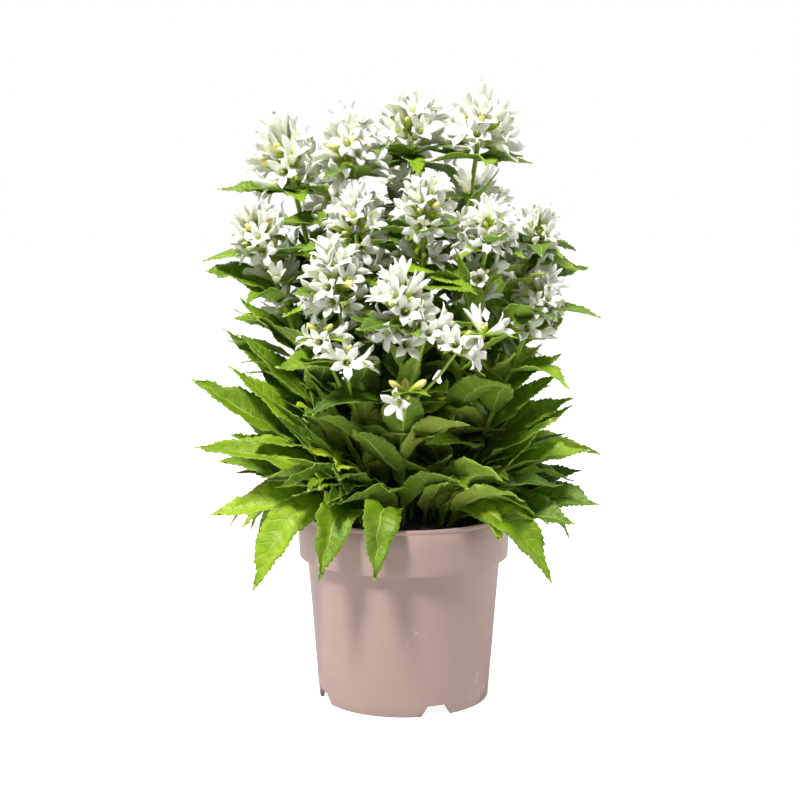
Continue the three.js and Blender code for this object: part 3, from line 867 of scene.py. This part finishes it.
def corolla(name, tube, lobe, keel):
    """tube and lobe are lists of (radius, height) in millimetres, from the foot to the lobe's tip."""
    deselect_all()
    foot_radius, foot_height = tube[0]
    bpy.ops.mesh.primitive_circle_add(vertices=10, radius=foot_radius, location=(0, 0, foot_height),
                                      rotation=(0, 0, math.radians(18)))
    bell = bpy.context.object
    bell.name = name
    bpy.ops.object.transform_apply(location=True, rotation=True)
    bpy.ops.object.mode_set(mode="EDIT")
    pick(lambda co: abs(math.degrees(math.atan2(co.y, co.x))) > 37)
    bpy.ops.mesh.delete(type="VERT")
    bpy.ops.mesh.select_all(action="SELECT")
    last = tube[0]
    for radius, height in tube[1:]:
        bpy.ops.mesh.extrude_region_move(TRANSFORM_OT_translate={"value": (0, 0, height - last[1])})
        growth = radius / last[0]
        bpy.ops.transform.resize(value=(growth, growth, 1), center_override=(0, 0, height))
        last = (radius, height)
    width_was = 1.0
    for (radius, height), width in zip(lobe[:-1], LOBE_WIDTHS):
        move = (radius - last[0], 0, height - last[1])
        bpy.ops.mesh.extrude_region_move(TRANSFORM_OT_translate={"value": move})
        bpy.ops.transform.resize(value=(0.55, width / width_was, 1), center_override=(radius, 0, height))
        last, width_was = (radius, height), width
    tip_radius, tip_height = lobe[-1]
    move = (tip_radius - last[0], 0, tip_height - last[1])
    bpy.ops.mesh.extrude_region_move(TRANSFORM_OT_translate={"value": move})
    bpy.ops.mesh.merge(type="CENTER")
    # The lobe is pinched along its middle, so that it has a shallow keel.
    pick(lambda co: abs(co.y) < 0.02 and co.z > tube[-1][1] + 0.5)
    bpy.ops.transform.translate(value=(keel * 0.5, 0, -keel))
    bpy.ops.mesh.select_all(action="SELECT")
    bpy.ops.mesh.spin(steps=4, dupli=True, angle=math.radians(288), center=(0, 0, 0), axis=(0, 0, 1))
    bpy.ops.mesh.select_all(action="SELECT")
    bpy.ops.mesh.remove_doubles(threshold=0.05)
    pick(lambda co: co.z < foot_height + 0.01)
    bpy.ops.mesh.edge_face_add()
    bpy.ops.mesh.select_all(action="SELECT")
    bpy.ops.mesh.normals_make_consistent(inside=False)
    bpy.ops.object.mode_set(mode="OBJECT")
    opening = bell.data.attributes.new("opening", "FLOAT", "POINT")
    mouth = tube[-1][1]
    opening.data.foreach_set("value", [max(0.0, min(1.0, v.co.z / mouth)) for v in bell.data.vertices])
    fold = bell.data.attributes.new("fold", "FLOAT", "POINT")
    fold.data.foreach_set("value", [math.cos(5 * math.atan2(v.co.y, v.co.x)) for v in bell.data.vertices])
    work_on(bell)
    bpy.ops.object.shade_smooth()
    bell.data.materials.append(white_petal)
    apply_modifier(bell, "thickness", "SOLIDIFY", thickness=PETAL_THICKNESS, offset=0,
                   use_even_offset=False)
    return bell


# Petal: soft matt white tissue, faintly creamy green down in the tube, with fine lengthwise veins
# and a little light passing through it.
white_petal = new_material("white_petal_tissue")
petal_open = node(white_petal, "Attribute", attribute_name="opening").outputs["Fac"]
petal_place = node(white_petal, "TexCoord").outputs["Object"]
petal_mottle = node(white_petal, "TexNoise",
                    {"Vector": petal_place, "Scale": 260.0, "Detail": 4.0}).outputs["Fac"]
petal_blend = node(white_petal, "MapRange",
                   {"Value": petal_open, "From Min": 0.1, "From Max": 0.85}).outputs[0]
petal_fold = node(white_petal, "Attribute", attribute_name="fold").outputs["Fac"]
petal_runs = node(white_petal, "Math", {0: petal_fold, 1: 2.5, 2: petal_mottle},
                  operation="MULTIPLY_ADD").outputs[0]
petal_ripple = node(white_petal, "Math", {0: petal_runs, 1: 0.5}, operation="PINGPONG").outputs[0]
petal_vein = node(white_petal, "MapRange",
                  {"Value": petal_ripple, "From Min": 0.2, "From Max": 0.0, "To Max": 0.45}).outputs[0]
petal_body = node(white_petal, "Mix",
                  {"Factor": petal_mottle, 6: linear("#f0f0e5"), 7: linear("#e8e8d8")},
                  data_type="RGBA").outputs[2]
petal_veined = node(white_petal, "Mix",
                    {"Factor": petal_vein, 6: petal_body, 7: linear("#d0d3b8")},
                    data_type="RGBA").outputs[2]
petal_colour = node(white_petal, "Mix",
                    {"Factor": petal_blend, 6: linear("#d6dd98"), 7: petal_veined},
                    data_type="RGBA").outputs[2]
petal_relief = node(white_petal, "Math", {0: petal_mottle, 1: petal_vein}, operation="SUBTRACT").outputs[0]
petal_bump = node(white_petal, "Bump",
                  {"Height": petal_relief, "Strength": 0.35, "Distance": mm(0.4)}).outputs[0]
petal_shader = node(white_petal, "BsdfPrincipled",
                    {"Base Color": petal_colour, "Roughness": 0.55, "Normal": petal_bump, "IOR": 1.36,
                     "Subsurface Weight": 0.6, "Subsurface Radius": (1.0, 0.95, 0.7),
                     "Subsurface Scale": mm(2.4)})
node(white_petal, "OutputMaterial", {"Surface": petal_shader.outputs[0]})

# Calyx and its sepals: tender yellow-green tissue, smooth with a soft shine.
calyx_green = new_material("calyx_green")
calyx_place = node(calyx_green, "TexCoord").outputs["Object"]
calyx_mottle = node(calyx_green, "TexNoise",
                    {"Vector": calyx_place, "Scale": 300.0, "Detail": 3.0}).outputs["Fac"]
calyx_colour = node(calyx_green, "Mix",
                    {"Factor": calyx_mottle, 6: linear("#8cab1e"), 7: linear("#bacb3a")},
                    data_type="RGBA").outputs[2]
calyx_bump = node(calyx_green, "Bump",
                  {"Height": calyx_mottle, "Strength": 0.3, "Distance": mm(0.3)}).outputs[0]
calyx_shader = node(calyx_green, "BsdfPrincipled",
                    {"Base Color": calyx_colour, "Roughness": 0.5, "Normal": calyx_bump, "IOR": 1.4})
node(calyx_green, "OutputMaterial", {"Surface": calyx_shader.outputs[0]})

# Unopened bud: creamy yellow with a green foot, the petals still rolled together.
bud_cream = new_material("cream_bud")
bud_open = node(bud_cream, "Attribute", attribute_name="opening").outputs["Fac"]
bud_place = node(bud_cream, "TexCoord").outputs["Object"]
bud_mottle = node(bud_cream, "TexNoise",
                  {"Vector": bud_place, "Scale": 300.0, "Detail": 3.0}).outputs["Fac"]
bud_tip = node(bud_cream, "Mix",
               {"Factor": bud_mottle, 6: linear("#e2d95e"), 7: linear("#efe9a4")},
               data_type="RGBA").outputs[2]
bud_colour = node(bud_cream, "Mix",
                  {"Factor": bud_open, 6: linear("#a9c12a"), 7: bud_tip}, data_type="RGBA").outputs[2]
bud_bump = node(bud_cream, "Bump",
                {"Height": bud_mottle, "Strength": 0.3, "Distance": mm(0.3)}).outputs[0]
bud_shader = node(bud_cream, "BsdfPrincipled",
                  {"Base Color": bud_colour, "Roughness": 0.5, "Normal": bud_bump, "IOR": 1.4})
node(bud_cream, "OutputMaterial", {"Surface": bud_shader.outputs[0]})


def calyx(sepal_length, spread):
    """A small green cup with five narrow sepals standing round it."""
    deselect_all()
    bpy.ops.mesh.primitive_cone_add(vertices=10, radius1=1.0, radius2=2.2, depth=3.4, location=(0, 0, -0.9))
    cup = bpy.context.object
    bpy.ops.object.transform_apply(location=True)
    bpy.ops.mesh.primitive_cone_add(vertices=4, radius1=1.0, radius2=0, depth=sepal_length,
                                    location=(0, 0, sepal_length / 2))
    sepals = bpy.context.object
    bpy.ops.object.transform_apply(location=True)
    bpy.ops.object.mode_set(mode="EDIT")
    bpy.ops.mesh.select_all(action="SELECT")
    bpy.ops.transform.resize(value=(0.35, 1, 1), center_override=(0, 0, 0))
    pick(lambda co: co.z > sepal_length / 2)
    bpy.ops.transform.translate(value=(spread, 0, 0))
    bpy.ops.mesh.select_all(action="SELECT")
    bpy.ops.transform.translate(value=(2.3, 0, -0.2))
    bpy.ops.mesh.spin(steps=4, dupli=True, angle=math.radians(288), center=(0, 0, 0), axis=(0, 0, 1))
    bpy.ops.object.mode_set(mode="OBJECT")
    green = join_all([cup, sepals], "calyx")
    green.data.materials.clear()
    green.data.materials.append(calyx_green)
    return green


def style():
    """The pale style that stands in the middle of an open bell."""
    deselect_all()
    bpy.ops.mesh.primitive_cone_add(vertices=5, radius1=0.45, radius2=0.75, depth=15, location=(0, 0, 8.5))
    rod = bpy.context.object
    bpy.ops.object.transform_apply(location=True)
    rod.data.materials.append(bud_cream)
    return rod


def closed_bud(name, rings, sides=10):
    """A bud turned from rings of (radius, height), pinched into five shallow folds."""
    deselect_all()
    bpy.ops.mesh.primitive_circle_add(vertices=sides, radius=rings[0][0], fill_type="NGON",
                                      location=(0, 0, rings[0][1]))
    bud = bpy.context.object
    bud.name = name
    bpy.ops.object.transform_apply(location=True)
    bpy.ops.object.mode_set(mode="EDIT")
    bpy.ops.mesh.select_all(action="SELECT")
    bpy.ops.mesh.select_mode(type="EDGE")
    last = rings[0]
    for radius, height in rings[1:]:
        bpy.ops.mesh.extrude_region_move(TRANSFORM_OT_translate={"value": (0, 0, height - last[1])})
        growth = radius / last[0]
        bpy.ops.transform.resize(value=(growth, growth, 1), center_override=(0, 0, height))
        last = (radius, height)
    bpy.ops.mesh.merge(type="CENTER")
    bpy.ops.mesh.select_mode(type="VERT")
    for side in range(0, sides, 2):
        turn = math.radians(side * 360 / sides)
        heading = Vector((math.cos(turn), math.sin(turn)))
        pick(lambda co: rings[1][1] - 0.1 < co.z < rings[-2][1] + 0.1
             and co.xy.length > 0.1 and co.xy.normalized().dot(heading) > 0.99)
        bpy.ops.transform.translate(value=(-0.28 * heading.x, -0.28 * heading.y, 0))
    bpy.ops.mesh.select_all(action="SELECT")
    bpy.ops.mesh.normals_make_consistent(inside=False)
    bpy.ops.object.mode_set(mode="OBJECT")
    opening = bud.data.attributes.new("opening", "FLOAT", "POINT")
    cream_from = 0.6 * last[1]
    opening.data.foreach_set("value", [max(0.0, min(1.0, v.co.z / cream_from)) for v in bud.data.vertices])
    work_on(bud)
    bpy.ops.object.shade_smooth()
    bud.data.materials.append(bud_cream)
    return bud


wide_open = join_all([
    corolla("open_bell", [(1.7, 0), (2.6, 4), (3.6, 9), (5.5, 13.5)],
            [(8.6, 16.4), (11.4, 18.2), (13.6, 18.4), (16.0, 17.2)], 0.6),
    calyx(8, 1.2), style()], "bell_wide_open")
half_open = join_all([
    corolla("half_open_bell", [(1.7, 0), (2.7, 4), (3.8, 9), (5.2, 14)],
            [(7.2, 17.2), (9.2, 19.8), (11.2, 21.6), (13.4, 22.6)], 0.5),
    calyx(8, 1.0), style()], "bell_half_open")
just_opening = join_all([
    corolla("young_bell", [(1.6, 0), (2.6, 4), (3.6, 9), (4.4, 14)],
            [(5.4, 18), (6.4, 21.4), (7.2, 23.8), (8.0, 25.4)], 0.3),
    calyx(8, 0.7)], "bell_just_opening")
large_bud = join_all([
    closed_bud("large_bud", [(1.2, 0), (2.1, 3), (2.6, 6.5), (2.7, 9.5), (2.0, 12), (0.9, 13.8),
                             (0.2, 14.4)]),
    calyx(7, 0.6)], "bud_large")
small_bud = join_all([
    closed_bud("small_bud", [(1.0, 0), (1.8, 2), (2.0, 4.4), (1.3, 6.8), (0.2, 8)]),
    calyx(6, 0.3)], "bud_small")
for blank in (wide_open, half_open, just_opening, large_bud, small_bud):
    blank.data.transform(Matrix.Scale(0.001, 4))

# ---- Flower clusters ----
# Sixteen to twenty-four bells stand shoulder to shoulder on each stem's end, with buds between them.
# The youngest are at the top, and a looser whorl or two grows from the leaves below.


def set_flower(blank, place, direction, size, spin):
    flower = blank.copy()
    flower.data = blank.data.copy()
    bpy.context.collection.objects.link(flower)
    facing = Vector((0, 0, 1)).rotation_difference(direction).to_matrix().to_4x4()
    turned = facing @ Matrix.Rotation(spin, 4, "Z")
    flower.data.transform(Matrix.Translation(place) @ turned @ Matrix.Scale(size, 4))
    return flower


def leaning(axis, polar, turn):
    """A direction at this angle from the axis, turned this far round it, both in degrees."""
    side = axis.orthogonal().normalized()
    side.rotate(Matrix.Rotation(math.radians(turn), 3, axis))
    away = math.radians(polar)
    return (axis * math.cos(away) + side * math.sin(away)).normalized()


def cluster(dice, place, axis, size, rings):
    """Flowers round the end of a stem.

    Each ring is: how many, angle from the axis, height up the axis, distance out, choice of flowers.
    """
    flowers = []
    turn = dice.uniform(0, 360)
    for count, polar, up, out, kinds in rings:
        turn += 180 / max(count, 1)
        for i in range(count):
            heading = leaning(axis, polar + dice.uniform(-18, 18),
                              turn + 360 * i / count + dice.uniform(-20, 20))
            root = place + axis * mm((up + dice.uniform(-5, 5)) * size) + heading * mm(out * size)
            flowers.append(set_flower(dice.choice(kinds), root, heading, size * dice.uniform(0.88, 1.18),
                                      dice.uniform(0, 6.28)))
    return flowers


def finish_bells(bells, name):
    head = join_all(bells, name)
    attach(head, "root")
    return head


# The fullest and the poorest heads: size against the others, and lift off the neck in mm.
HEAD_SHAPES = {1: (1.16, 9), 2: (1.04, 5), 3: (1.08, 4), 4: (1.16, 5), 5: (0.9, 4), 9: (0.92, 2),
               10: (0.78, 0), 12: (0.8, 2), 18: (0.85, 2)}
USUAL_HEAD_WIDTH = 0.0526
TALL_STEMS = (1, 2, 3, 4, 5, 9, 13, 14, 15)
for number in range(1, STEM_COUNT + 1):
    dice = random.Random(500 + number)
    head_low, head_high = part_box(f"flower_head_{number:02d}")
    size = (head_high.x - head_low.x) / USUAL_HEAD_WIDTH
    neck, axis = up_the_stem(number, 1.0)
    fullness, lift = HEAD_SHAPES.get(number, (1.0, 4))
    bells = cluster(dice, neck + axis * mm(lift), axis, (0.62 + 0.25 * size) * fullness, (
        (dice.randint(5, 7), 84, 0, 9, (wide_open, half_open)),
        (dice.randint(5, 8), 60, 8, 9, (wide_open, half_open, half_open)),
        (dice.randint(4, 6), 36, 16, 8, (wide_open, half_open, just_opening)),
        (dice.randint(2, 3), 14, 23, 6, (half_open, just_opening)),
        (8, 56, 9, 13, (small_bud, large_bud)),
    ))
    for share, many, polar in ((0.89, 3, 64), (0.78, 2, 50)):
        low_place, low_axis = up_the_stem(number, share)
        if share > 0.8 or number in TALL_STEMS:
            bells += cluster(dice, low_place, low_axis, 0.85, (
                (many, polar, 0, 6, (wide_open, half_open, just_opening)),
                (2, 60, 2, 5, (small_bud,)),
            ))
    head = finish_bells(bells, f"bell_cluster_{number:02d}")
    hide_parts(f"flower_head_{number:02d}")

# ---- Side shoots ----
# Six thin shoots leave the front stems low down, and each ends in a few bells and buds of its own
# over four small bracts.
# Each row: the stem, share of the way up it, the shoot's end, size of its bells, and their rings.
SIDE_SHOOTS = (
    (8, 0.50, (-62, -88, 300), 0.82, ((3, 66, 0, 4, (wide_open, half_open)), (2, 40, 4, 8, (small_bud,)))),
    (8, 0.44, (-44, -96, 284), 0.82, ((4, 60, 0, 4, (wide_open, half_open)), (2, 40, 4, 8, (small_bud,)))),
    (11, 0.66, (16, -97, 304), 0.84, ((4, 56, 0, 4, (wide_open, half_open)), (2, 30, 4, 8, (large_bud,)))),
    (11, 0.60, (40, -98, 294), 0.84, ((5, 62, 0, 4, (wide_open, half_open)), (2, 30, 4, 8, (small_bud,)))),
    (9, 0.56, (60, -88, 304), 0.8, ((3, 60, 0, 4, (half_open, just_opening)), (2, 30, 4, 8, (small_bud,)))),
    (11, 0.50, (2, -98, 262), 0.9, ((1, 60, 0, 3, (wide_open,)), (4, 62, 0, 6, (small_bud, large_bud)))),
)
shoot_stalks = []
shoot_leaves = []
for shoot, (number, share, end, size, rings) in enumerate(SIDE_SHOOTS, 1):
    dice = random.Random(900 + shoot)
    start = up_the_stem(number, share)[0]
    end = Vector(end) / 1000
    middle = start.lerp(end, 0.5) + Vector((0, 0, mm(-5)))
    shoot_stalks.append(draw_stalk([start, middle, end], 1.5, 1.1, "side_shoot", 2))
    axis = (end - middle).normalized().lerp(Vector((0, -0.3, 1)), 0.6).normalized()
    finish_bells(cluster(dice, end, axis, size, rings), f"side_bells_{shoot}")
    for i in range(4):
        points = arching(end, dice.uniform(0, 70) + 90 * i, dice.uniform(20, 30), 15, 30)
        shoot_leaves.append(lay_leaf(bract, points, 12, dice.uniform(0.2, 0.7)))
side_stalks = join_all(shoot_stalks, "side_shoots")
side_stalks.data.materials.append(green_stem)
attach(side_stalks, "root")
side_leaves = join_all(shoot_leaves, "side_shoot_leaves")
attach(side_leaves, "root")

# The blanks have been copied for the last time.
for blank in (long_leaf, folded_leaf, stem_leaf, bract):
    bpy.data.objects.remove(blank, do_unlink=True)
for blank in (wide_open, half_open, just_opening, large_bud, small_bud):
    bpy.data.objects.remove(blank, do_unlink=True)

# ---- Studio ----
# A plain white floor in an even white surround. The key light is high at the left front, and weak
# broad ones fill from the left, the right and above.
deselect_all()
bpy.ops.mesh.primitive_plane_add(size=12)
floor = bpy.context.object
floor.name = "studio_floor"
floor_white = new_material("matt_white_floor")
floor_seen = node(floor_white, "LightPath").outputs["Is Camera Ray"]
floor_glow = node(floor_white, "Math", {0: floor_seen, 1: 0.92}, operation="MULTIPLY").outputs[0]
floor_shader = node(floor_white, "BsdfPrincipled",
                    {"Base Color": linear("#e4e4e4"), "Roughness": 0.9, "Specular IOR Level": 0.1,
                     "Emission Color": (1, 1, 1, 1), "Emission Strength": floor_glow})
node(floor_white, "OutputMaterial", {"Surface": floor_shader.outputs[0]})
floor.data.materials.append(floor_white)

surround = bpy.data.worlds.new("white_surround")
surround.use_nodes = True
surround.node_tree.nodes.clear()
ray = node(surround, "LightPath").outputs
seen = node(surround, "Math", {0: ray["Is Camera Ray"], 1: ray["Is Glossy Ray"]},
            operation="MAXIMUM").outputs[0]
strength = node(surround, "MapRange", {"Value": seen, "To Min": 0.1, "To Max": 1.0}).outputs[0]
sky = node(surround, "Background", {"Color": (1, 1, 1, 1), "Strength": strength}).outputs[0]
node(surround, "OutputWorld", {"Surface": sky})
bpy.context.scene.world = surround


def soft_light(name, place, aim, width, power):
    lamp = bpy.data.lights.new(name, "AREA")
    lamp.shape = "SQUARE"
    lamp.size = width
    lamp.energy = power
    holder = bpy.data.objects.new(name, lamp)
    bpy.context.collection.objects.link(holder)
    holder.location = place
    holder.rotation_euler = (Vector(aim) - Vector(place)).to_track_quat("-Z", "Y").to_euler()


soft_light("key_light", (-0.62, -0.95, 1.95), (0, 0, 0.28), 0.35, 72)
soft_light("left_light", (-1.6, 0.2, 0.6), (0, 0, 0.2), 0.9, 8)
soft_light("right_light", (1.5, 0.4, 0.6), (0, 0, 0.2), 0.9, 13)
soft_light("top_light", (0.1, 0.2, 1.6), (0, 0, 0.3), 1.0, 9)

CAMERA_PLACE = (-0.003, -1.417, 0.449)
CAMERA_TILT = 81.72
lens = bpy.data.cameras.new("camera")
lens.lens = 80
lens.sensor_width = 36
camera = bpy.data.objects.new("camera", lens)
bpy.context.collection.objects.link(camera)
camera.location = CAMERA_PLACE
camera.rotation_euler = (math.radians(CAMERA_TILT), 0, 0)
bpy.context.scene.camera = camera
bpy.context.scene.view_settings.view_transform = "Standard"

bpy.context.view_layer.update()
